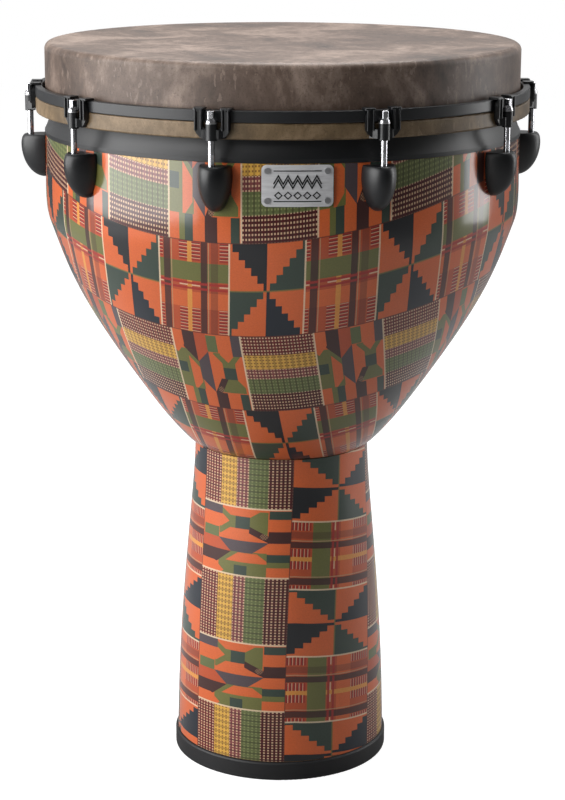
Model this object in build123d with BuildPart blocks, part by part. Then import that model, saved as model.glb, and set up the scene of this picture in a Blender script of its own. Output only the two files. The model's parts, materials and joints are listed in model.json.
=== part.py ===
"""A key-tuned djembe: a goblet shell in two glued lengths, a skin-like head and ten rod tuning stations.

Millimetres, +Z up. The origin is the centre of the foot's underside and the badge faces -Y.
"""

from build123d import *
import math

# Overall sizes
HEIGHT = 686.0
HEAD_R = 217.5
WAIST_Z = 310.0
FOOT_RING_TOP = 18.0

# Shell lengths: the finished outlines, as (radius, height)
BOWL_OUTLINE = [
    (83.4, WAIST_Z + 0.6),
    (92.2, 318.0),
    (133.3, 370.0),
    (172.8, 430.0),
    (203.0, 490.0),
    (213.8, 520.0),
    (218.7, 556.0),
]
BOWL_TOP = (218.0, 603.0)
LEG_OUTLINE = [
    (100.8, FOOT_RING_TOP + 0.6),
    (98.0, 100.0),
    (90.7, 200.0),
    (86.1, 250.0),
    (82.2, WAIST_Z - 0.6),
]
WRAP_T = 0.6
GLUE_GAP = 0.1
WALL_T = 7.0
SHELL_SKIN = WRAP_T + GLUE_GAP
SPIGOT_R = 78.0
SPIGOT_TOP = 324.0
SPIGOT_WALL = 5.0
LEG_BOTTOM = 6.0

# Neck and bearing edge above the bowl
SHOULDER_BOTTOM = 604.0
SHOULDER_TOP = 612.0
NECK_R = 211.4
EDGE_TOP = 685.2
EDGE_ROUND = 4.9
INNER_SHOULDER_BOTTOM = 603.2
INNER_WALL_R = 210.9

# Head: film with a moulded collar, bonded into its flesh hoop
FILM_T = 0.5
COLLAR_ROUND = 6.0
COLLAR_BOTTOM = 625.0
FLESH_BOTTOM = 623.5
FLESH_TOP = 637.5
FLESH_R = 226.3

# Counterhoop: a rolled steel bar
HOOP_BOTTOM = 637.7
HOOP_TOP = 647.5
HOOP_R = 226.5
HOOP_T = 6.35

# Tuning stations
STATIONS = 10
FIRST_STATION = -104.7
ROD_CIRCLE_R = 231.6
ROD_R = 2.75
ROD_BOTTOM = 580.0
WASHER_BOTTOM = 636.9
WASHER_T = 1.0
FLANGE_R = 4.6
FLANGE_T = 1.5
KEY_SIDE = 5.4
KEY_TOP = 647.6

# Lug: half an egg with a flat top, on a seat that is a cylinder about the drum's axis
LUG_SEAT_R = 219.0
LUG_BOTTOM = 561.9
LUG_TOP = 601.4
LUG_DEPTH = 21.6
LUG_HALF_WIDTH = 14.5
LUG_HEIGHT_BELOW = 30.5
LUG_SECTION_HEIGHTS = (0.25, 1.2, 3.5, 8.0, 15.0, 22.0, LUG_HEIGHT_BELOW, 36.0, LUG_TOP - LUG_BOTTOM)
LUG_CROWN = (3.4, 1.6)
NUT_BOTTOM = 579.0
NUT_TOP = 592.0
NUT_R = 4.6
POCKET_GAP = 0.5
SCREW_HEIGHTS = (568.0, 594.6)
SCREW_R = 2.0
SCREW_REACH = 8.0
SCREW_HEAD_R = 3.8
SCREW_HEAD_T = 2.6
LUG_WASHER_R = 4.6
LUG_WASHER_T = 1.2

# Clamp: a cast claw that hooks over the counterhoop with two arms
CLAMP_WIDTH = 33.0
CLAMP_BACK_R = 226.8
CLAMP_FRONT_R = 229.7
CLAMP_BOTTOM = 624.6
ARM_WIDTH = 7.4
CAP_WIDTH = 9.6
CAP_REACH_R = 220.6
CAP_BOTTOM = 647.7
CAP_T = 1.9
CAP_OVERHANG = 0.9
BOSS_R = 4.7
BOSS_BOTTOM = 623.0
BOSS_TOP = 636.7
BOSS_BORE_R = 3.2
SEAT_TOP = 632.0
BRIDGE_HALF_W = 6.8

# Badge plate
BADGE_ANGLE = -86.7
BADGE_W = 60.0
BADGE_H = 35.0
BADGE_Z = 585.0
BADGE_R = 219.0
BADGE_T = 1.2
RIVET_R = 1.5
RIVET_HEAD_R = 2.6
RIVET_SPACING = (50.0, 25.0)


def inset(outline, depth):
    """Moves each point of an outline towards the axis side by depth, along the outline's normal."""
    moved = []
    last = len(outline) - 1
    for i, (r, z) in enumerate(outline):
        before = outline[max(i - 1, 0)]
        after = outline[min(i + 1, last)]
        run = (after[0] - before[0], after[1] - before[1])
        length = math.hypot(*run)
        if i in (0, last):
            moved.append((r - depth, z))
        else:
            moved.append((r - depth * run[1] / length, z + depth * run[0] / length))
    return moved


def save(part, name):
    part.label = name
    export_step(part, f"parts/{name}.step")


def around(part, angle):
    """A copy of a part made on the +X side, turned about the drum's axis."""
    return Rot(0, 0, angle) * part


def station_angles():
    return [FIRST_STATION + i * 360.0 / STATIONS for i in range(STATIONS)]


def radial_plane(angle, height):
    """A plane whose normal points out of the drum's axis at this angle and height."""
    direction = (math.cos(math.radians(angle)), math.sin(math.radians(angle)), 0)
    return Plane(origin=(0, 0, height), x_dir=(-direction[1], direction[0], 0), z_dir=direction)


def screw_places():
    """The angle and height of every lug screw."""
    return [(angle, height) for angle in station_angles() for height in SCREW_HEIGHTS]


def rivet_places():
    """The angle and height of the badge's four rivets."""
    width, height = RIVET_SPACING
    swing = math.degrees(width / 2 / BADGE_R)
    return [(BADGE_ANGLE + a * swing, BADGE_Z + b * height / 2) for a in (-1, 1) for b in (-1, 1)]


def radial_pins(places, radius, start, end, mode):
    """Adds or cuts round pins that point out of the drum's axis, between two distances from it."""
    for angle, height in places:
        with BuildSketch(radial_plane(angle, height).offset(start)) as pin:
            Circle(radius)
        extrude(pin.sketch, amount=end - start, mode=mode)


def drill_wall():
    """Cuts the lug screw and badge rivet holes through the bowl's straight side."""
    radial_pins(screw_places(), SCREW_R + 0.25, HEAD_R - 20, HEAD_R + 20, Mode.SUBTRACT)
    radial_pins(rivet_places(), RIVET_R + 0.1, HEAD_R - 20, HEAD_R + 20, Mode.SUBTRACT)


# ---- Bowl: the upper length of the shell, from the waist to the bearing edge
bowl_outside = inset(BOWL_OUTLINE, SHELL_SKIN)
bowl_inside = inset(BOWL_OUTLINE, SHELL_SKIN + WALL_T)
neck_inner_r = NECK_R - WALL_T
shell_top_r = BOWL_TOP[0] - SHELL_SKIN
with BuildPart() as bowl_shell:
    with BuildSketch(Plane.XZ):
        with BuildLine():
            Spline(*bowl_outside, tangents=[(1, 0.6), (0, 1)])
            Polyline(
                bowl_outside[-1],
                (shell_top_r, SHOULDER_BOTTOM),
                (NECK_R, SHOULDER_TOP),
                (NECK_R, EDGE_TOP - EDGE_ROUND),
            )
            RadiusArc((NECK_R, EDGE_TOP - EDGE_ROUND), (NECK_R - EDGE_ROUND, EDGE_TOP), -EDGE_ROUND)
            Polyline(
                (NECK_R - EDGE_ROUND, EDGE_TOP),
                (neck_inner_r, EDGE_TOP - 3.0),
                (neck_inner_r, INNER_SHOULDER_BOTTOM + WALL_T),
                (INNER_WALL_R, INNER_SHOULDER_BOTTOM),
                (INNER_WALL_R, bowl_inside[-1][1]),
            )
            Spline(
                (INNER_WALL_R, bowl_inside[-1][1]),
                *reversed(bowl_inside[2:-1]),
                (SPIGOT_R + 6.0, SPIGOT_TOP + 8.0),
                tangents=[(0, -1), (-1, -0.9)],
            )
            Polyline(
                (SPIGOT_R + 6.0, SPIGOT_TOP + 8.0),
                (SPIGOT_R + 0.1, SPIGOT_TOP + 1.0),
                (SPIGOT_R + 0.1, bowl_outside[0][1]),
                bowl_outside[0],
            )
        make_face()
    revolve(axis=Axis.Z)
    drill_wall()
save(bowl_shell.part, "bowl_shell")

# ---- Leg: the lower length, whose spigot is glued up inside the bowl's throat
leg_outside = inset(LEG_OUTLINE, SHELL_SKIN)
leg_inside = inset(LEG_OUTLINE, SHELL_SKIN + WALL_T)
spigot_inner_r = SPIGOT_R - SPIGOT_WALL
with BuildPart() as leg_shell:
    with BuildSketch(Plane.XZ):
        with BuildLine():
            Line((leg_outside[0][0], LEG_BOTTOM), leg_outside[0])
            Spline(*leg_outside, tangents=[(-0.02, 1), (-0.02, 1)])
            Polyline(
                leg_outside[-1],
                (SPIGOT_R, leg_outside[-1][1]),
                (SPIGOT_R, SPIGOT_TOP),
                (spigot_inner_r, SPIGOT_TOP),
                (leg_inside[-1][0], leg_inside[-1][1]),
            )
            Spline(*reversed(leg_inside), tangents=[(0.02, -1), (0.02, -1)])
            Polyline(leg_inside[0], (leg_inside[0][0], LEG_BOTTOM), (leg_outside[0][0], LEG_BOTTOM))
        make_face()
    revolve(axis=Axis.Z)
save(leg_shell.part, "leg_shell")

# ---- Printed fabric laminate over each length of the shell
with BuildPart() as bowl_wrap:
    with BuildSketch(Plane.XZ):
        with BuildLine():
            wrap_back = inset(BOWL_OUTLINE, WRAP_T)
            Spline(*BOWL_OUTLINE, tangents=[(1, 0.6), (0, 1)])
            Polyline(BOWL_OUTLINE[-1], BOWL_TOP, (BOWL_TOP[0] - WRAP_T, BOWL_TOP[1]), wrap_back[-1])
            Spline(*wrap_back, tangents=[(1, 0.6), (0, 1)])
            Line(wrap_back[0], BOWL_OUTLINE[0])
        make_face()
    revolve(axis=Axis.Z)
    drill_wall()
save(bowl_wrap.part, "bowl_wrap")

with BuildPart() as leg_wrap:
    with BuildSketch(Plane.XZ):
        with BuildLine():
            wrap_back = inset(LEG_OUTLINE, WRAP_T)
            Spline(*LEG_OUTLINE, tangents=[(-0.02, 1), (-0.02, 1)])
            Line(LEG_OUTLINE[-1], wrap_back[-1])
            Spline(*wrap_back, tangents=[(-0.02, 1), (-0.02, 1)])
            Line(wrap_back[0], LEG_OUTLINE[0])
        make_face()
    revolve(axis=Axis.Z)
save(leg_wrap.part, "leg_wrap")

# ---- Moulded band that covers the step between bowl and neck
band_gap = 0.2
band_lip_r = LUG_SEAT_R - 0.4
band_lip_top = 607.0
band_top_r = NECK_R + 1.2
band_top = 628.0
with BuildPart() as shoulder_band:
    with BuildSketch(Plane.XZ):
        with BuildLine():
            Polyline(
                (band_top_r, band_top),
                (NECK_R + band_gap, band_top),
                (NECK_R + band_gap, SHOULDER_TOP + band_gap),
                (shell_top_r + band_gap, SHOULDER_BOTTOM + band_gap),
                (shell_top_r + band_gap, BOWL_TOP[1] + 0.4),
                (band_lip_r, BOWL_TOP[1] + 0.4),
                (band_lip_r, band_lip_top),
            )
            ThreePointArc((band_lip_r, band_lip_top), (214.6, 616.4), (band_top_r, band_top))
        make_face()
    revolve(axis=Axis.Z)
save(shoulder_band.part, "shoulder_band")

# ---- Rubber foot ring: a channel pressed over the leg's lower end
foot_outer_r = 103.0
foot_round = 2.2
foot_inner_r = leg_inside[0][0] - 3.0
with BuildPart() as foot_ring:
    with BuildSketch(Plane.XZ):
        with Locations(((foot_outer_r + foot_inner_r) / 2, FOOT_RING_TOP / 2)):
            RectangleRounded(foot_outer_r - foot_inner_r, FOOT_RING_TOP, foot_round)
        channel_w = leg_outside[0][0] - leg_inside[0][0] + 0.4
        channel_r = (leg_outside[0][0] + leg_inside[0][0]) / 2
        with Locations((channel_r, LEG_BOTTOM - 0.2 + FOOT_RING_TOP / 2)):
            Rectangle(channel_w, FOOT_RING_TOP, mode=Mode.SUBTRACT)
    revolve(axis=Axis.Z)
save(foot_ring.part, "foot_ring")


# ---- Lugs, made once about the seat's centre line and copied round the shell
def egg_section(rise):
    """The lug's half depth and half width at a height above its lowest point."""
    below = max(0.0, 1 - rise / LUG_HEIGHT_BELOW)
    crown = max(0.0, rise - LUG_HEIGHT_BELOW) / (LUG_TOP - LUG_BOTTOM - LUG_HEIGHT_BELOW)
    taper = math.sqrt(1 - below**2)
    return LUG_DEPTH * taper - LUG_CROWN[0] * crown**3, LUG_HALF_WIDTH * taper - LUG_CROWN[1] * crown**3


rod_x = ROD_CIRCLE_R - LUG_SEAT_R
with BuildPart() as lug:
    for rise in LUG_SECTION_HEIGHTS:
        with BuildSketch(Plane.XY.offset(LUG_BOTTOM + rise)):
            Ellipse(*egg_section(rise))
    loft()
    with BuildSketch(Plane.XY.offset(LUG_BOTTOM - 5)):
        with Locations((-LUG_SEAT_R, 0)):
            Circle(LUG_SEAT_R)
    extrude(amount=LUG_TOP - LUG_BOTTOM + 10, mode=Mode.SUBTRACT)
    with BuildSketch(Plane.XY.offset(NUT_BOTTOM - POCKET_GAP)):
        with Locations((rod_x, 0)):
            Circle(NUT_R + POCKET_GAP)
        with Locations((rod_x / 2 - 1, 0)):
            Rectangle(rod_x + 2, 2 * (NUT_R + POCKET_GAP))
    extrude(amount=NUT_TOP - NUT_BOTTOM + 2 * POCKET_GAP, mode=Mode.SUBTRACT)
    with BuildSketch(Plane.XY.offset(NUT_TOP)):
        with Locations((rod_x, 0)):
            Circle(ROD_R + 0.75)
    extrude(amount=LUG_TOP - NUT_TOP + 1, mode=Mode.SUBTRACT)
    for height in SCREW_HEIGHTS:
        with BuildSketch(Plane.YZ.offset(-2)):
            with Locations((0, height)):
                Circle(SCREW_R + 0.05)
        extrude(amount=SCREW_REACH + 2.5, mode=Mode.SUBTRACT)

# ---- Swivel nut that takes the rod's thread inside each lug
with BuildPart() as nut:
    with BuildSketch(Plane.XY.offset(NUT_BOTTOM)):
        with Locations((ROD_CIRCLE_R, 0)):
            Circle(NUT_R)
            Circle(ROD_R + 0.06, mode=Mode.SUBTRACT)
    extrude(amount=NUT_TOP - NUT_BOTTOM)

# ---- Screws and washers that hold a lug from inside the shell
washer_face_r = INNER_WALL_R - 0.15
with BuildPart() as screws:
    for height in SCREW_HEIGHTS:
        head_back = washer_face_r - LUG_WASHER_T
        with BuildSketch(Plane.YZ.offset(head_back)):
            with Locations((0, height)):
                Circle(SCREW_R)
        extrude(amount=LUG_SEAT_R + SCREW_REACH - head_back)
        with BuildSketch(Plane.YZ.offset(head_back - SCREW_HEAD_T)):
            with Locations((0, height)):
                Circle(SCREW_HEAD_R)
        extrude(amount=SCREW_HEAD_T)
    fillet(screws.faces().filter_by(Axis.X).group_by(Axis.X)[0].edges(), 1.0)
with BuildPart() as lug_washer_pair:
    for height in SCREW_HEIGHTS:
        with BuildSketch(Plane.YZ.offset(washer_face_r - LUG_WASHER_T)):
            with Locations((0, height)):
                Circle(LUG_WASHER_R)
                Circle(SCREW_R + 0.2, mode=Mode.SUBTRACT)
        extrude(amount=LUG_WASHER_T)

# ---- Drumhead: flat film, rounded corner and straight collar
film_inner_r = HEAD_R - FILM_T
corner_r = HEAD_R - COLLAR_ROUND
corner_z = HEIGHT - COLLAR_ROUND
with BuildPart() as drumhead:
    with BuildSketch(Plane.XZ):
        with BuildLine():
            Line((0, HEIGHT), (corner_r, HEIGHT))
            RadiusArc((corner_r, HEIGHT), (HEAD_R, corner_z), COLLAR_ROUND)
            Polyline(
                (HEAD_R, corner_z),
                (HEAD_R, COLLAR_BOTTOM),
                (film_inner_r, COLLAR_BOTTOM),
                (film_inner_r, corner_z),
            )
            RadiusArc((film_inner_r, corner_z), (corner_r, HEIGHT - FILM_T), -(COLLAR_ROUND - FILM_T))
            Polyline((corner_r, HEIGHT - FILM_T), (0, HEIGHT - FILM_T), (0, HEIGHT))
        make_face()
    revolve(axis=Axis.Z)
save(drumhead.part, "drumhead")

# ---- Flesh hoop bonded round the collar's lower edge
flesh_inner_r = HEAD_R + 0.1
with BuildPart() as flesh_hoop:
    with BuildSketch(Plane.XZ):
        with Locations(((FLESH_R + flesh_inner_r) / 2, (FLESH_BOTTOM + FLESH_TOP) / 2)):
            RectangleRounded(FLESH_R - flesh_inner_r, FLESH_TOP - FLESH_BOTTOM, 1.6)
    revolve(axis=Axis.Z)
save(flesh_hoop.part, "flesh_hoop")

# ---- Counterhoop
with BuildPart() as counterhoop:
    with BuildSketch(Plane.XZ):
        with Locations((HOOP_R - HOOP_T / 2, (HOOP_BOTTOM + HOOP_TOP) / 2)):
            RectangleRounded(HOOP_T, HOOP_TOP - HOOP_BOTTOM, 0.8)
    revolve(axis=Axis.Z)
save(counterhoop.part, "counterhoop")

# ---- Clamp: a U of two arms with hooked caps, and a centre boss for the rod
arm_y = (CLAMP_WIDTH - CAP_WIDTH) / 2
arm_outer_y = arm_y + ARM_WIDTH / 2
arm_inner_y = arm_y - ARM_WIDTH / 2
arm_top = CAP_BOTTOM + CAP_T
plate_back = CLAMP_BACK_R - 3.0
rib_x = CLAMP_FRONT_R + 0.5
with BuildPart() as clamp:
    with BuildSketch(Plane.YZ.offset(plate_back)) as claw:
        with Locations((0, (CLAMP_BOTTOM + arm_top) / 2)):
            Rectangle(2 * arm_outer_y, arm_top - CLAMP_BOTTOM)
        fillet(claw.vertices().group_by(Axis.Z)[0], SEAT_TOP - CLAMP_BOTTOM + 2.0)
        with Locations((0, SEAT_TOP + CLAMP_WIDTH / 2)):
            RectangleRounded(2 * arm_inner_y, CLAMP_WIDTH, 3.0, mode=Mode.SUBTRACT)
    extrude(amount=CLAMP_FRONT_R - plate_back)
    with BuildSketch(Plane.XY.offset(CLAMP_BOTTOM - 1)):
        Circle(CLAMP_BACK_R)
    extrude(amount=CAP_BOTTOM - CLAMP_BOTTOM + 1, mode=Mode.SUBTRACT)
    cap_length = CLAMP_FRONT_R + CAP_OVERHANG - CAP_REACH_R
    with BuildSketch(Plane.XY.offset(CAP_BOTTOM)):
        with Locations((CAP_REACH_R + cap_length / 2, arm_y), (CAP_REACH_R + cap_length / 2, -arm_y)):
            RectangleRounded(cap_length, CAP_WIDTH, 1.4)
    extrude(amount=CAP_T)
    fillet(clamp.faces().sort_by(Axis.Z)[-2:].edges(), 0.5)
    for y in (arm_y, -arm_y):
        with BuildSketch(Plane.XY.offset(SEAT_TOP - 1)):
            with Locations((rib_x, y - 2.5), (rib_x, y + 2.5)):
                RectangleRounded(2.2, 1.7, 0.6)
        extrude(amount=CAP_BOTTOM - SEAT_TOP + 1.5)
    with BuildSketch(Plane.XY.offset(CLAMP_BOTTOM)):
        with BuildLine():
            Polyline(
                (CLAMP_BACK_R + 0.4, -arm_y),
                (ROD_CIRCLE_R + 1.5, -BRIDGE_HALF_W),
                (ROD_CIRCLE_R + 1.5, BRIDGE_HALF_W),
                (CLAMP_BACK_R + 0.4, arm_y),
                close=True,
            )
        make_face()
    extrude(amount=SEAT_TOP - CLAMP_BOTTOM)
    with BuildSketch(Plane.XY.offset(BOSS_BOTTOM)):
        with Locations((ROD_CIRCLE_R, 0)):
            Circle(BOSS_R)
    extrude(amount=BOSS_TOP - BOSS_BOTTOM)
    with BuildSketch(Plane.XY.offset(BOSS_BOTTOM - 1)):
        with Locations((ROD_CIRCLE_R, 0)):
            Circle(BOSS_BORE_R)
    extrude(amount=BOSS_TOP - BOSS_BOTTOM + 2, mode=Mode.SUBTRACT)

# ---- Washer between a rod's flange and its clamp
washer_top = WASHER_BOTTOM + WASHER_T
with BuildPart() as rod_washer:
    with BuildSketch(Plane.XY.offset(WASHER_BOTTOM)):
        with Locations((ROD_CIRCLE_R, 0)):
            Circle(FLANGE_R + 0.3)
            Circle(ROD_R + 0.3, mode=Mode.SUBTRACT)
    extrude(amount=WASHER_T)

# ---- Tension rod: plain shank, flange, and a square head for the drum key
flange_bottom = washer_top + 0.1
flange_top = flange_bottom + FLANGE_T
with BuildPart() as rod:
    with BuildSketch(Plane.XZ):
        with BuildLine():
            Polyline(
                (0, ROD_BOTTOM),
                (ROD_R - 0.7, ROD_BOTTOM),
                (ROD_R, ROD_BOTTOM + 0.7),
                (ROD_R, flange_bottom),
                (FLANGE_R, flange_bottom),
                (FLANGE_R, flange_top),
                (KEY_SIDE / 2 + 0.4, flange_top + 2.2),
                (0, flange_top + 2.2),
                close=True,
            )
        make_face()
    revolve(axis=Axis.Z)
    with BuildSketch(Plane.XY.offset(flange_top)):
        RectangleRounded(KEY_SIDE, KEY_SIDE, 0.9)
    extrude(amount=KEY_TOP - flange_top)
    chamfer(rod.faces().sort_by(Axis.Z)[-1].edges(), 0.5)

# ---- One lug, clamp and rod at each station
placed_lug = Pos(LUG_SEAT_R, 0, 0) * lug.part
placed_rod = Pos(ROD_CIRCLE_R, 0, 0) * rod.part
for number, angle in enumerate(station_angles(), start=1):
    save(around(placed_lug, angle), f"lug_{number:02d}")
    save(around(clamp.part, angle), f"clamp_{number:02d}")
    save(around(placed_rod, angle), f"tension_rod_{number:02d}")


def save_ring_of(piece, name):
    """Saves a copy of the piece at every station, as one node of separate solids."""
    with BuildPart() as ring:
        with PolarLocations(0, STATIONS, start_angle=FIRST_STATION):
            add(piece)
    save(ring.part, name)


save_ring_of(nut.part, "swivel_nuts")
save_ring_of(screws.part, "lug_screws")
save_ring_of(lug_washer_pair.part, "lug_washers")
save_ring_of(rod_washer.part, "rod_washers")

# ---- Badge plate, rolled to the bowl, and the rivets at its corners
badge_plane = radial_plane(BADGE_ANGLE, BADGE_Z)
with BuildPart() as badge_plate:
    with BuildSketch(Plane.XY.offset(BADGE_Z - BADGE_H)):
        Circle(BADGE_R + BADGE_T)
        Circle(BADGE_R, mode=Mode.SUBTRACT)
    extrude(amount=2 * BADGE_H)
    with BuildSketch(badge_plane):
        RectangleRounded(BADGE_W, BADGE_H, 4.5)
    extrude(amount=BADGE_R + 20, mode=Mode.INTERSECT)
    radial_pins(rivet_places(), RIVET_R + 0.1, BADGE_R - 5, BADGE_R + 5, Mode.SUBTRACT)
save(badge_plate.part, "badge_plate")

rivet_seat = BADGE_R + BADGE_T + 0.05
with BuildPart() as badge_rivets:
    radial_pins(rivet_places(), RIVET_R, INNER_WALL_R + 2, rivet_seat + 0.5, Mode.ADD)
    radial_pins(rivet_places(), RIVET_HEAD_R, rivet_seat, rivet_seat + 1.0, Mode.ADD)
save(badge_rivets.part, "badge_rivets")
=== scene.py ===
"""Looks for the key-tuned djembe: printed shell, mottled skin head, black and chrome hardware.

Metres, in the CAD frame: the foot stands on z = 0 and the badge faces -Y.
"""

import json
import math

import bmesh
import bpy
from mathutils import Matrix, Vector


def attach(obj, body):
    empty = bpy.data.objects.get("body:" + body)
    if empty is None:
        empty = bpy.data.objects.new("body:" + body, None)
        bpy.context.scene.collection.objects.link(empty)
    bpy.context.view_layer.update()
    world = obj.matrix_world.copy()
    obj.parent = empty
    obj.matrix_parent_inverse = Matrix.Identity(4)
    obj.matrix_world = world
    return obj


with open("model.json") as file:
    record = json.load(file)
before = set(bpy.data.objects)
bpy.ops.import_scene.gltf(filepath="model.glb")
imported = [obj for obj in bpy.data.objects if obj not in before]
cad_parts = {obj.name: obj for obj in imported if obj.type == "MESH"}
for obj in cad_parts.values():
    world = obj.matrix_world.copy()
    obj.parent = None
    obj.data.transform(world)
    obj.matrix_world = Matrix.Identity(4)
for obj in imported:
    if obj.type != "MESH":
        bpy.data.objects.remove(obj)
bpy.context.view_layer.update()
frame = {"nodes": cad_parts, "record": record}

# Where the bowl meets the leg, in millimetres
WAIST_Z = 310.0

# The rods' threads and the badge, in millimetres and degrees
THREAD_PITCH = 1.058
THREAD_TOP = 612.0
BADGE_ANGLE = -86.7
BADGE_Z = 585.0
BADGE_FACE_R = 220.2


def rgb(red, green, blue):
    """A linear colour from 0-255 display values."""
    def linear(v):
        v /= 255.0
        return v / 12.92 if v <= 0.04045 else ((v + 0.055) / 1.055) ** 2.4
    return (linear(red), linear(green), linear(blue), 1.0)


# ---- Small node language: numbers and colours as sockets


class Num:
    """A number carried by a node socket, with arithmetic that adds Math nodes."""

    def __init__(self, tree, socket):
        self.tree = tree
        self.socket = socket

    def op(self, name, *others):
        node = self.tree.nodes.new("ShaderNodeMath")
        node.operation = name
        self.tree.links.new(self.socket, node.inputs[0])
        for slot, other in enumerate(others, start=1):
            if isinstance(other, Num):
                self.tree.links.new(other.socket, node.inputs[slot])
            else:
                node.inputs[slot].default_value = other
        return Num(self.tree, node.outputs[0])

    def __add__(self, other):
        return self.op("ADD", other)

    def __sub__(self, other):
        return self.op("SUBTRACT", other)

    def __mul__(self, other):
        return self.op("MULTIPLY", other)

    def __truediv__(self, other):
        return self.op("DIVIDE", other)

    def __lt__(self, other):
        return self.op("LESS_THAN", other)

    def __gt__(self, other):
        return self.op("GREATER_THAN", other)

    def __or__(self, other):
        return self.op("MAXIMUM", other)

    def floor(self):
        return self.op("FLOOR")

    def fract(self):
        return self.op("FRACT")

    def abs(self):
        return self.op("ABSOLUTE")

    def inverse(self):
        return (self * -1.0) + 1.0

    def between(self, low, high):
        """1 where the number lies from low to high."""
        middle = (low + high) / 2
        return (self - middle).abs() < (high - low) / 2

    def pick(self, other, where):
        """This number, or the other one where the mask is 1."""
        change = other - self if isinstance(other, Num) else self * -1.0 + other
        return self + change * where


def new_material(name):
    material = bpy.data.materials.new(name)
    material.use_nodes = True
    return material


def shader_of(material):
    return material.node_tree.nodes["Principled BSDF"]


def paint(tree, under, over, mask):
    """The colour under, with the colour over laid on it where the mask is 1."""
    mix = tree.nodes.new("ShaderNodeMix")
    mix.data_type = "RGBA"
    values = {"Factor": mask, "A": under, "B": over}
    for name, value in values.items():
        socket = mix.inputs[name]
        if isinstance(value, Num):
            tree.links.new(value.socket, socket)
        elif isinstance(value, bpy.types.NodeSocket):
            tree.links.new(value, socket)
        else:
            socket.default_value = value
    return mix.outputs["Result"]


def rest_vector(tree):
    """The place in the part's own rest frame, in metres."""
    return tree.nodes.new("ShaderNodeTexCoord").outputs["Object"]


def rest_number(tree, vector, axis):
    """One coordinate of that place, in millimetres."""
    split = tree.nodes.new("ShaderNodeSeparateXYZ")
    tree.links.new(vector, split.inputs[0])
    return Num(tree, split.outputs[axis]) * 1000.0


def noise(tree, vector, scale, detail=4.0, roughness=0.5, stretch=(1, 1, 1), distortion=0.0):
    mapping = tree.nodes.new("ShaderNodeMapping")
    mapping.inputs["Scale"].default_value = stretch
    tree.links.new(vector, mapping.inputs["Vector"])
    node = tree.nodes.new("ShaderNodeTexNoise")
    node.inputs["Scale"].default_value = scale
    node.inputs["Detail"].default_value = detail
    node.inputs["Roughness"].default_value = roughness
    node.inputs["Distortion"].default_value = distortion
    tree.links.new(mapping.outputs[0], node.inputs["Vector"])
    return Num(tree, node.outputs["Fac"])


def ramp(tree, number, stops):
    node = tree.nodes.new("ShaderNodeValToRGB")
    tree.links.new(number.socket, node.inputs["Fac"])
    elements = node.color_ramp.elements
    while len(elements) < len(stops):
        elements.new(0.5)
    for element, (place, colour) in zip(elements, stops):
        element.position = place
        element.color = colour
    return node.outputs["Color"]


def bump(tree, shader, height, strength, distance):
    node = tree.nodes.new("ShaderNodeBump")
    node.inputs["Strength"].default_value = strength
    node.inputs["Distance"].default_value = distance
    tree.links.new(height.socket, node.inputs["Height"])
    tree.links.new(node.outputs[0], shader.inputs["Normal"])


# ---- Printed strip-weave cloth

# The length of one block along a strip, and a strip's width, in millimetres
BLOCK = 64.6
STRIP = 95.0

# Each strip of the bowl: the height of its upper edge, and its width down the bowl
TOP_STRIP = (635.0, 100.0)
SECOND_STRIP = (535.0, 87.0)
THIRD_STRIP = (448.0, 79.0)
FOURTH_STRIP = (369.0, 75.0)

# The bowl's strips lie lowest this far round to the left of the front, and rise towards the
# sides by more the higher up they are
PRINT_LEAN = math.radians(13.0)
DIP_GROWTH = 0.07
LOWEST_DIP = 10.5

# The leg's strips: their turn about the axis, where their blocks start, how far every other
# strip is shifted, and how much it slants, in millimetres per degree past an angle
LEG_TURN = math.radians(25.0)
LEG_BLOCK_TOP = 262.2
LEG_ODD_SHIFT = 10.5
LEG_SLANT_FROM = 8.0
LEG_SLANT = 0.16

ORANGE = rgb(206, 96, 44)
DEEP_ORANGE = rgb(178, 74, 34)
AMBER = rgb(216, 146, 62)
YELLOW = rgb(212, 164, 70)
CREAM = rgb(226, 200, 168)
OLIVE = rgb(104, 104, 52)
GREEN = rgb(92, 100, 58)
DARK_GREEN = rgb(48, 62, 52)
BLACK = rgb(20, 22, 26)
BURGUNDY = rgb(104, 28, 26)
DARK_BURGUNDY = rgb(74, 18, 20)
MAUVE = rgb(122, 62, 62)
BROWN = rgb(60, 26, 22)
SLATE = rgb(74, 62, 66)
RED = rgb(158, 30, 24)


def box_mask(c, a, c_low, c_high, a_low, a_high):
    return c.between(c_low, c_high) * a.between(a_low, a_high)


def hexagon(c, a, centre, half_width, half_height, slope):
    """A hexagon lying along the strip, with pointed ends, as a mask."""
    dc = (c - centre[0]).abs()
    da = (a - centre[1]).abs()
    return (dc + da * slope < half_width) * (da < half_height)


def woven_check(tree, c, a, across, along):
    """Five bands of woven colour with rows of small light dots."""
    colour = paint(tree, MAUVE, YELLOW, c.between(0.245, 0.43))
    colour = paint(tree, colour, BURGUNDY, c < 0.245)
    colour = paint(tree, colour, GREEN, c.between(0.56, 0.76))
    colour = paint(tree, colour, DARK_BURGUNDY, c > 0.76)
    row = (along / 2.69).fract()
    dot_c = ((across / 3.9).fract() - 0.5).abs() < 0.22
    dot_a = (row - 0.5).abs() < 0.26
    ribs = ((along / 5.38).fract() - 0.5).abs() > 0.34
    colour = paint(tree, colour, rgb(42, 24, 20), ribs * 0.42)
    pale_band = c.between(0.245, 0.43)
    green_band = c.between(0.56, 0.76)
    dots = dot_c * dot_a
    other_bands = (pale_band | green_band).inverse()
    colour = paint(tree, colour, rgb(214, 176, 140), dots * other_bands * 0.85)
    colour = paint(tree, colour, rgb(110, 62, 30), dots * pale_band * 0.8)
    return paint(tree, colour, rgb(140, 146, 92), dots * green_band * 0.6)


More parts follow.
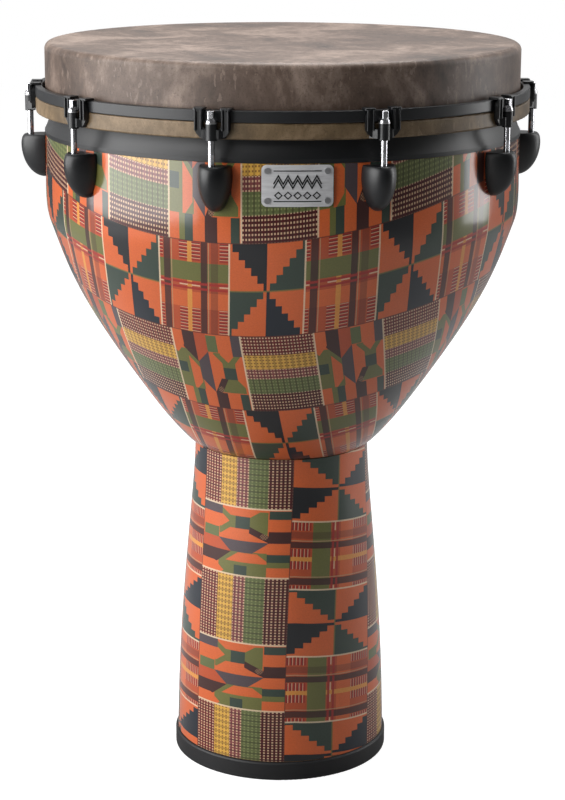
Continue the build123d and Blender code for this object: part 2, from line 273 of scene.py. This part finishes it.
def hexagon_chain(tree, c, a):
    """Orange ground with an olive chain, orange and slate hexagons, and small dark blocks."""
    colour = paint(tree, ORANGE, OLIVE, box_mask(c, a, 0.24, 0.77, 0.04, 0.42))
    colour = paint(tree, colour, OLIVE, box_mask(c, a, 0.24, 0.77, 0.64, 1.0))
    colour = paint(tree, colour, ORANGE, hexagon(c, a, (0.48, 0.02), 0.23, 0.11, 1.1))
    colour = paint(tree, colour, ORANGE, hexagon(c, a, (0.24, 0.22), 0.12, 0.1, 1.0))
    colour = paint(tree, colour, ORANGE, hexagon(c, a, (0.5, 0.48), 0.3, 0.17, 1.0))
    colour = paint(tree, colour, SLATE, hexagon(c, a, (0.5, 0.485), 0.29, 0.17, 1.0) * (a > 0.485))
    near_edge = hexagon(c, a, (0.1, 0.66), 0.29, 0.17, 0.9) * (a < 0.66)
    colour = paint(tree, colour, DEEP_ORANGE, near_edge)
    colour = paint(tree, colour, BROWN, hexagon(c, a, (0.1, 0.66), 0.29, 0.19, 0.9) * (a > 0.66))
    colour = paint(tree, colour, ORANGE, hexagon(c, a, (0.57, 0.8), 0.24, 0.14, 1.0) * (a < 0.8))
    colour = paint(tree, colour, ORANGE, hexagon(c, a, (0.06, 0.96), 0.25, 0.12, 1.0))
    wedge = (c - 0.56) * 0.62
    colour = paint(tree, colour, BROWN, ((a - 0.3 - wedge).abs() < 0.05) * c.between(0.58, 0.79))
    colour = paint(tree, colour, SLATE, box_mask(c, a, 0.0, 0.27, 0.0, 0.14))
    colour = paint(tree, colour, GREEN, box_mask(c, a, 0.02, 0.235, 0.34, 0.49))
    colour = paint(tree, colour, DARK_GREEN, box_mask(c, a, 0.43, 0.585, 0.13, 0.31))
    colour = paint(tree, colour, DARK_GREEN, box_mask(c, a, 0.43, 0.57, 0.85, 1.0))
    colour = paint(tree, colour, DARK_GREEN, box_mask(c, a, 0.78, 1.0, 0.02, 0.14))
    colour = paint(tree, colour, BROWN, box_mask(c, a, 0.78, 1.0, 0.32, 0.49))
    colour = paint(tree, colour, DARK_GREEN, box_mask(c, a, 0.77, 1.0, 0.655, 0.77))
    colour = paint(tree, colour, OLIVE, box_mask(c, a, 0.77, 1.0, 0.77, 0.85))
    hatch = ((c * STRIP + a * BLOCK) / 2.4).fract().between(0.0, 0.35)
    hatch = hatch | ((c * STRIP - a * BLOCK) / 2.4).fract().between(0.0, 0.35)
    patch = hexagon(c, a, (0.735, 0.4), 0.045, 0.04, 0.6)
    return paint(tree, colour, rgb(206, 160, 120), hatch * patch * 0.35)


def stepped_pinwheel(tree, c, a):
    """Four quadrants, each cut corner to corner by a flight of steps."""
    steps = 6.0
    right = c > 0.5
    low = a > 0.5
    u = (c * 2.0).fract()
    v = (a * 2.0).fract()
    stair = ((u * steps).floor() + 0.5) / steps
    rising = (stair + v) < 1.0
    falling = stair > v
    top_left = falling * right.inverse() * low.inverse()
    bottom_left = rising * right.inverse() * low
    top_right = rising.inverse() * right * low.inverse()
    bottom_right = falling.inverse() * right * low
    colour = paint(tree, ORANGE, DARK_GREEN, top_left | bottom_right)
    colour = paint(tree, colour, BLACK, bottom_left)
    colour = paint(tree, colour, rgb(16, 26, 38), top_right)
    return paint(tree, colour, OLIVE, c.between(0.492, 0.51) * 0.7)


def plaid(tree, c, a, across):
    """Crossed stripes: comb dashes at both sides, an olive band, dark stripes and fine lines."""
    comb = (c < 0.2) | (c > 0.72)
    colour = paint(tree, DEEP_ORANGE, OLIVE, c.between(0.22, 0.42))
    colour = paint(tree, colour, ORANGE, c.between(0.54, 0.72))
    glow = (a - 0.55).abs() < 0.035
    colour = paint(tree, colour, AMBER, glow * (c.between(0.22, 0.42).inverse()) * 0.9)
    dark = a.between(0.3, 0.39) | a.between(0.83, 0.93) | a.between(0.15, 0.25) * 0.45
    colour = paint(tree, colour, BROWN, dark * 0.92)
    dash_rows = a.between(0.0, 0.13) | a.between(0.4, 0.52)
    dash_rows = dash_rows | a.between(0.58, 0.7) | a.between(0.94, 1.0)
    phase = (across / 3.5).fract()
    colour = paint(tree, colour, RED, comb * dash_rows * phase.between(0.0, 0.4) * 0.9)
    colour = paint(tree, colour, DARK_BURGUNDY, comb * dash_rows * phase.between(0.4, 0.62) * 0.9)
    colour = paint(tree, colour, CREAM, comb * dash_rows * phase.between(0.66, 0.84) * 0.6)
    double = c.between(0.435, 0.46) | c.between(0.49, 0.515)
    colour = paint(tree, colour, RED, double * 0.9)
    colour = paint(tree, colour, CREAM, c.between(0.462, 0.476) * dash_rows * 0.7)
    fine = a.between(0.275, 0.29) | a.between(0.805, 0.82)
    return paint(tree, colour, rgb(178, 142, 104), fine * 0.75)


def strip_fraction(level, strip):
    """How far down a strip the level lies, from 0 at its upper edge to 1."""
    edge, width = strip
    return (level * -1.0 + edge) / width


def printed_cloth():
    """The shell's print: two strips that alternate, each of two blocks that alternate along it."""
    material = new_material("printed_wrap")
    tree = material.node_tree
    shader = shader_of(material)
    vector = rest_vector(tree)
    x, y, z = (rest_number(tree, vector, axis) for axis in "XYZ")
    radius = (x * x + y * y).op("SQRT")
    turn = x.op("ARCTAN2", y * -1.0)
    degrees = turn * (180.0 / math.pi)

    # Leg: strips run up the leg, side by side round it
    leg_arc = (turn + LEG_TURN) * radius + (STRIP / 2 + 8 * STRIP)
    leg_strip = (leg_arc / STRIP).floor()
    leg_across = leg_arc - leg_strip * STRIP
    leg_odd = (leg_strip * 0.5).fract() > 0.25
    leg_slant = (degrees - LEG_SLANT_FROM).op("MAXIMUM", 0.0) * LEG_SLANT
    leg_down = (z * -1.0) + (LEG_BLOCK_TOP + 8 * BLOCK)
    leg_down = leg_down.pick(leg_down - leg_slant - LEG_ODD_SHIFT, leg_odd) + BLOCK

    # Bowl: strips lie round the bowl and dip towards the front and the back
    dip_depth = (z - FOURTH_STRIP[0]) * DIP_GROWTH + LOWEST_DIP
    dip = dip_depth * ((turn + PRINT_LEAN) * 2.0).op("COSINE").inverse()
    level = z - dip
    in_b1 = level.between(THIRD_STRIP[0], SECOND_STRIP[0])
    in_a2 = level.between(FOURTH_STRIP[0], THIRD_STRIP[0])
    in_b2 = level < FOURTH_STRIP[0]
    frac = strip_fraction(level, TOP_STRIP).pick(strip_fraction(level, SECOND_STRIP), in_b1)
    frac = frac.pick(strip_fraction(level, THIRD_STRIP), in_a2)
    frac = frac.pick(strip_fraction(level, FOURTH_STRIP), in_b2)
    # The bowl's laminate is in two halves, front and back, with seams out at the sides
    half_start = PRINT_LEAN + math.pi / 2
    panel = ((turn + half_start) / math.pi).fract() * math.pi - half_start
    upper = (panel + math.radians(9.0)) * radius
    second = (panel - math.radians(3.0)) * radius + 56.0
    third = (panel + PRINT_LEAN) * radius - 4.8
    fourth = (panel + PRINT_LEAN) * radius + 4.7
    round_bowl = upper.pick(second, in_b1).pick(third, in_a2).pick(fourth, in_b2)
    bowl_odd = in_b1 | in_b2
    bowl_along = (round_bowl * -1.0) + (BLOCK * 21.0)

    on_bowl = z > WAIST_Z
    c = (leg_across / STRIP).pick(frac, on_bowl)
    odd = leg_odd.pick(bowl_odd, on_bowl)
    run = leg_down.pick(bowl_along, on_bowl)
    block = (run / BLOCK).floor()
    along = run - block * BLOCK
    a = along / BLOCK
    second_kind = (block * 0.5).fract() > 0.25
    across = c * STRIP

    check = woven_check(tree, c, a, across, along)
    strip_a = paint(tree, check, hexagon_chain(tree, c, a), second_kind)
    strip_b = paint(tree, stepped_pinwheel(tree, c, a), plaid(tree, c, a, across), second_kind)
    colour = paint(tree, strip_a, strip_b, odd)
    edge = (along - BLOCK / 2).abs() > BLOCK / 2 - 0.75
    stitch = ((across + along) / 1.6).fract().between(0.0, 0.8)
    colour = paint(tree, colour, CREAM, edge * (stitch * 0.25 + 0.6))
    joins = (across - STRIP / 2).abs() > STRIP / 2 - 0.5
    colour = paint(tree, colour, rgb(70, 34, 26), joins * 0.7)

    cloth = noise(tree, vector, 900.0, detail=2.0)
    fade = noise(tree, vector, 9.0, detail=3.0)
    shade = tree.nodes.new("ShaderNodeHueSaturation")
    tree.links.new(colour, shade.inputs["Color"])
    value = cloth * 0.34 + fade * 0.3 + 0.56
    tree.links.new(value.socket, shade.inputs["Value"])
    tree.links.new(shade.outputs[0], shader.inputs["Base Color"])
    weft = ((across / 0.9).fract() - 0.5).abs() + ((along / 0.9).fract() - 0.5).abs()
    bump(tree, shader, weft + cloth * 0.5, 0.12, 0.0002)
    rough = cloth * 0.12 + 0.42
    tree.links.new(rough.socket, shader.inputs["Roughness"])
    shader.inputs["Coat Weight"].default_value = 1.0
    shader.inputs["Coat Roughness"].default_value = 0.16
    shader.inputs["Specular IOR Level"].default_value = 0.2
    return material


# ---- Plainer materials


def skin_film(name, dark, middle, light):
    """Mottled hide-like film: cloudy patches, long streaks and pale flecks."""
    material = new_material(name)
    tree = material.node_tree
    shader = shader_of(material)
    vector = rest_vector(tree)
    clouds = noise(tree, vector, 14.0, detail=6.0, roughness=0.62, distortion=0.6)
    grain = noise(tree, vector, 120.0, detail=5.0, roughness=0.7, stretch=(1, 1, 0.5))
    mixed = clouds * 0.72 + grain * 0.3
    colour = ramp(tree, mixed, [(0.33, dark), (0.5, middle), (0.68, light)])
    flecks = noise(tree, vector, 260.0, detail=2.0, roughness=0.5, stretch=(1, 1, 0.35))
    patches = noise(tree, vector, 30.0, detail=2.0)
    fleck_mask = (flecks > 0.63) * (patches > 0.5)
    colour = paint(tree, colour, light, fleck_mask * 0.35)
    pores = noise(tree, vector, 700.0, detail=2.0)
    colour = paint(tree, colour, dark, (pores > 0.62) * 0.35)
    tree.links.new(colour, shader.inputs["Base Color"])
    tree.links.new((clouds * 0.25 + 0.36).socket, shader.inputs["Roughness"])
    bump(tree, shader, grain * 0.6 + pores * 0.4, 0.12, 0.0004)
    shader.inputs["Specular IOR Level"].default_value = 0.4
    return material


def black_finish(name, colour, roughness, grain_scale, strength):
    """Satin black with a fine texture and slightly uneven sheen."""
    material = new_material(name)
    tree = material.node_tree
    shader = shader_of(material)
    vector = rest_vector(tree)
    broad = noise(tree, vector, 18.0, detail=3.0)
    fine = noise(tree, vector, grain_scale, detail=3.0, roughness=0.6)
    lighter = tuple(min(1.0, v * 1.9) for v in colour[:3]) + (1.0,)
    shade = ramp(tree, broad * 0.6 + fine * 0.4, [(0.35, colour), (0.7, lighter)])
    tree.links.new(shade, shader.inputs["Base Color"])
    dulling = fine * 0.16 + broad * 0.1 + roughness - 0.13
    tree.links.new(dulling.socket, shader.inputs["Roughness"])
    bump(tree, shader, fine, strength, 0.0002)
    return material


def bright_metal(name, colour, roughness, streaks=(1, 1, 1), scale=60.0, metal=1.0, thread=0.0):
    """Plated or brushed metal, with fine streaks along the stretched direction."""
    material = new_material(name)
    tree = material.node_tree
    shader = shader_of(material)
    vector = rest_vector(tree)
    z = rest_number(tree, vector, "Z")
    lines = noise(tree, vector, scale, detail=4.0, roughness=0.65, stretch=streaks)
    smudge = noise(tree, vector, 35.0, detail=3.0)
    dull = tuple(v * 0.8 for v in colour[:3]) + (1.0,)
    tree.links.new(ramp(tree, lines, [(0.3, dull), (0.65, colour)]), shader.inputs["Base Color"])
    dulling = lines * 0.14 + smudge * 0.1 + roughness - 0.1
    tree.links.new(dulling.socket, shader.inputs["Roughness"])
    ridges = ((z / THREAD_PITCH).fract() - 0.5).abs() * (z < THREAD_TOP) * thread
    height = lines * (1.0 - thread) + ridges
    bump(tree, shader, height, 0.06 + 0.5 * thread, 0.0001 + 0.0006 * thread)
    shader.inputs["Metallic"].default_value = metal
    return material


def fibre_board(name):
    """Bare wood-fibre laminate inside the shell."""
    material = new_material(name)
    tree = material.node_tree
    shader = shader_of(material)
    vector = rest_vector(tree)
    fibres = noise(tree, vector, 90.0, detail=6.0, roughness=0.7, stretch=(1, 1, 0.18))
    blotch = noise(tree, vector, 7.0, detail=3.0)
    stops = [(0.3, rgb(96, 68, 44)), (0.55, rgb(140, 104, 70)), (0.75, rgb(170, 134, 96))]
    tree.links.new(ramp(tree, fibres * 0.6 + blotch * 0.4, stops), shader.inputs["Base Color"])
    tree.links.new((fibres * 0.2 + 0.62).socket, shader.inputs["Roughness"])
    bump(tree, shader, fibres, 0.3, 0.0004)
    return material


MATERIALS = {
    "printed_wrap": printed_cloth(),
    "head_film": skin_film("head_film", rgb(54, 43, 37), rgb(94, 78, 68), rgb(146, 128, 116)),
    "hoop_skin": skin_film("hoop_skin", rgb(66, 54, 38), rgb(104, 86, 62), rgb(142, 120, 94)),
    "black_hoop": black_finish("black_hoop", rgb(19, 20, 22), 0.4, 900.0, 0.12),
    "clamp_casting": black_finish("clamp_casting", rgb(15, 16, 18), 0.36, 700.0, 0.15),
    "lug_plastic": black_finish("lug_plastic", rgb(15, 16, 18), 0.4, 1100.0, 0.1),
    "black_plastic": black_finish("black_plastic", rgb(14, 15, 17), 0.42, 900.0, 0.1),
    "foot_rubber": black_finish("foot_rubber", rgb(15, 15, 17), 0.55, 600.0, 0.25),
    "rod_chrome": bright_metal(
        "rod_chrome", rgb(222, 222, 226), 0.2, streaks=(1, 1, 0.1), thread=0.8
    ),
    "screw_steel": bright_metal("screw_steel", rgb(190, 190, 192), 0.36),
    "nut_brass": bright_metal("nut_brass", rgb(206, 170, 104), 0.3),
    # The badge is only 0.6 metallic, so its near-white base also shows as diffuse colour: a painted
    # reflection that keeps the plate bright where it faces dim surroundings.
    "badge_metal": bright_metal(
        "badge_metal", rgb(236, 236, 238), 0.4, streaks=(0.05, 1, 1), scale=400.0, metal=0.6
    ),
    "rivet_metal": bright_metal("rivet_metal", rgb(206, 206, 208), 0.3),
    "shell_fibre": fibre_board("shell_fibre"),
}


def dress_cad_nodes():
    """Gives every carried CAD node its slot's material."""
    for part in frame["record"]["subparts"]:
        node = frame["nodes"][part["node"]]
        node.data.materials.clear()
        node.data.materials.append(MATERIALS[part["material_slot"]])


# ---- Badge motif: raised enamel lines in a plain geometric pattern


def on_badge(u, v, lift):
    """The point that far right of and above the badge's centre, lifted off its face, in metres."""
    angle = math.radians(BADGE_ANGLE) + u / BADGE_FACE_R
    radius = BADGE_FACE_R + lift
    return (radius * math.cos(angle) / 1000, radius * math.sin(angle) / 1000, (BADGE_Z + v) / 1000)


def enamel_line(bm, points, width, closed=False):
    """A raised line of this width along the points."""
    count = len(points)
    rings = []
    for i, point in enumerate(points):
        before = points[(i - 1) % count] if closed or i else point
        after = points[(i + 1) % count] if closed or i < count - 1 else point
        directions = [Vector(b) - Vector(a) for a, b in ((before, point), (point, after)) if a != b]
        normals = [Vector((-d.y, d.x)).normalized() for d in directions]
        middle = sum(normals, Vector((0, 0))).normalized()
        reach = middle * (width / 2 / max(0.4, middle.dot(normals[0])))
        corners = [(1, -0.1), (-1, -0.1), (-1, 0.3), (1, 0.3)]
        ring = []
        for side, lift in corners:
            place = on_badge(point[0] + side * reach.x, point[1] + side * reach.y, lift)
            ring.append(bm.verts.new(place))
        rings.append(ring)
    for i in range(count if closed else count - 1):
        one, two = rings[i], rings[(i + 1) % count]
        for k in range(4):
            bm.faces.new((one[k], one[(k + 1) % 4], two[(k + 1) % 4], two[k]))
    if not closed:
        bm.faces.new(reversed(rings[0]))
        bm.faces.new(rings[-1])


def make_badge_motif():
    bm = bmesh.new()
    peaks = 5
    step = 40.0 / (2 * peaks)
    zigzag = [(-20 + i * step, 8.5 if i % 2 else 1.5) for i in range(2 * peaks + 1)]
    enamel_line(bm, zigzag, 1.1)
    enamel_line(bm, [(u, v - 3.4) for u, v in zigzag], 1.1)
    for centre in (-16, -8, 0, 8, 16):
        diamond = [(centre - 3, -8), (centre, -5.2), (centre + 3, -8), (centre, -10.8)]
        enamel_line(bm, diamond, 0.9, closed=True)
    frame_line = [(-20, -13), (0, -13), (20, -13)]
    enamel_line(bm, frame_line, 0.9)
    enamel_line(bm, [(u, 12.5) for u, v in frame_line], 0.9)
    bmesh.ops.recalc_face_normals(bm, faces=bm.faces)
    mesh = bpy.data.meshes.new("badge_motif")
    bm.to_mesh(mesh)
    bm.free()
    motif = bpy.data.objects.new("badge_motif", mesh)
    bpy.context.scene.collection.objects.link(motif)
    mesh.materials.append(MATERIALS["black_plastic"])
    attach(motif, "shell")


# ---- Studio


def area_light(name, place, target, size, power):
    data = bpy.data.lights.new(name, "AREA")
    data.shape = "RECTANGLE"
    data.size, data.size_y = size
    data.energy = power
    light = bpy.data.objects.new(name, data)
    bpy.context.scene.collection.objects.link(light)
    light.location = place
    light.rotation_euler = (Vector(target) - Vector(place)).to_track_quat("-Z", "Y").to_euler()


def make_world():
    """A white backdrop behind the drum that falls off to a dim room behind the viewer."""
    world = bpy.data.worlds.new("studio")
    bpy.context.scene.world = world
    world.use_nodes = True
    tree = world.node_tree
    coords = tree.nodes.new("ShaderNodeTexCoord")
    split = tree.nodes.new("ShaderNodeSeparateXYZ")
    tree.links.new(coords.outputs["Generated"], split.inputs[0])
    spread = tree.nodes.new("ShaderNodeMapRange")
    spread.inputs["From Min"].default_value = -0.25
    spread.inputs["From Max"].default_value = 0.45
    spread.inputs["To Min"].default_value = 0.045
    spread.inputs["To Max"].default_value = 0.6
    tree.links.new(split.outputs["Y"], spread.inputs["Value"])
    path = tree.nodes.new("ShaderNodeLightPath")
    seen = Num(tree, spread.outputs[0]) | Num(tree, path.outputs["Is Camera Ray"])
    tree.links.new(seen.socket, tree.nodes["Background"].inputs["Strength"])
    tree.nodes["Background"].inputs["Color"].default_value = (1, 1, 1, 1)


def make_floor():
    bm = bmesh.new()
    bmesh.ops.create_grid(bm, x_segments=8, y_segments=8, size=6.0)
    mesh = bpy.data.meshes.new("floor")
    bm.to_mesh(mesh)
    bm.free()
    floor = bpy.data.objects.new("floor", mesh)
    bpy.context.scene.collection.objects.link(floor)
    material = new_material("floor_paper")
    tree = material.node_tree
    shader = shader_of(material)
    vector = rest_vector(tree)
    grain = noise(tree, vector, 40.0, detail=3.0)
    paper = ramp(tree, grain, [(0.3, rgb(140, 140, 140)), (0.7, rgb(150, 150, 150))])
    tree.links.new(paper, shader.inputs["Base Color"])
    path = tree.nodes.new("ShaderNodeLightPath")
    glow = Num(tree, path.outputs["Is Camera Ray"]) * 0.9
    tree.links.new(glow.socket, shader.inputs["Emission Strength"])
    shader.inputs["Emission Color"].default_value = (1, 1, 1, 1)
    shader.inputs["Roughness"].default_value = 0.95
    shader.inputs["Specular IOR Level"].default_value = 0.1
    mesh.materials.append(material)


def make_studio():
    make_world()
    area_light("left_panel", (-1.85, -0.7, 1.05), (0, 0, 0.55), (2.6, 1.9), 86)
    area_light("right_panel", (1.9, 0.4, 0.9), (0, 0, 0.5), (0.7, 1.7), 18)
    area_light("front_fill", (-0.5, -2.6, 1.9), (0, 0, 0.4), (0.5, 0.5), 2)
    area_light("top_panel", (0.1, 0.35, 2.1), (0, 0, 0.6), (1.4, 1.2), 42)
    make_floor()


def make_camera():
    data = bpy.data.cameras.new("camera")
    data.sensor_width = 36.0
    data.lens = 98.7
    data.shift_x = 0.00125
    camera = bpy.data.objects.new("camera", data)
    bpy.context.scene.collection.objects.link(camera)
    pitch = math.radians(90.0 - 14.22)
    roll = math.radians(0.226)
    camera.matrix_world = (
        Matrix.Translation((0, -2.028, 0.860))
        @ Matrix.Rotation(pitch, 4, "X")
        @ Matrix.Rotation(roll, 4, "Z")
    )
    bpy.context.scene.camera = camera
    bpy.context.scene.view_settings.view_transform = "Standard"


make_camera()
make_studio()
dress_cad_nodes()
make_badge_motif()
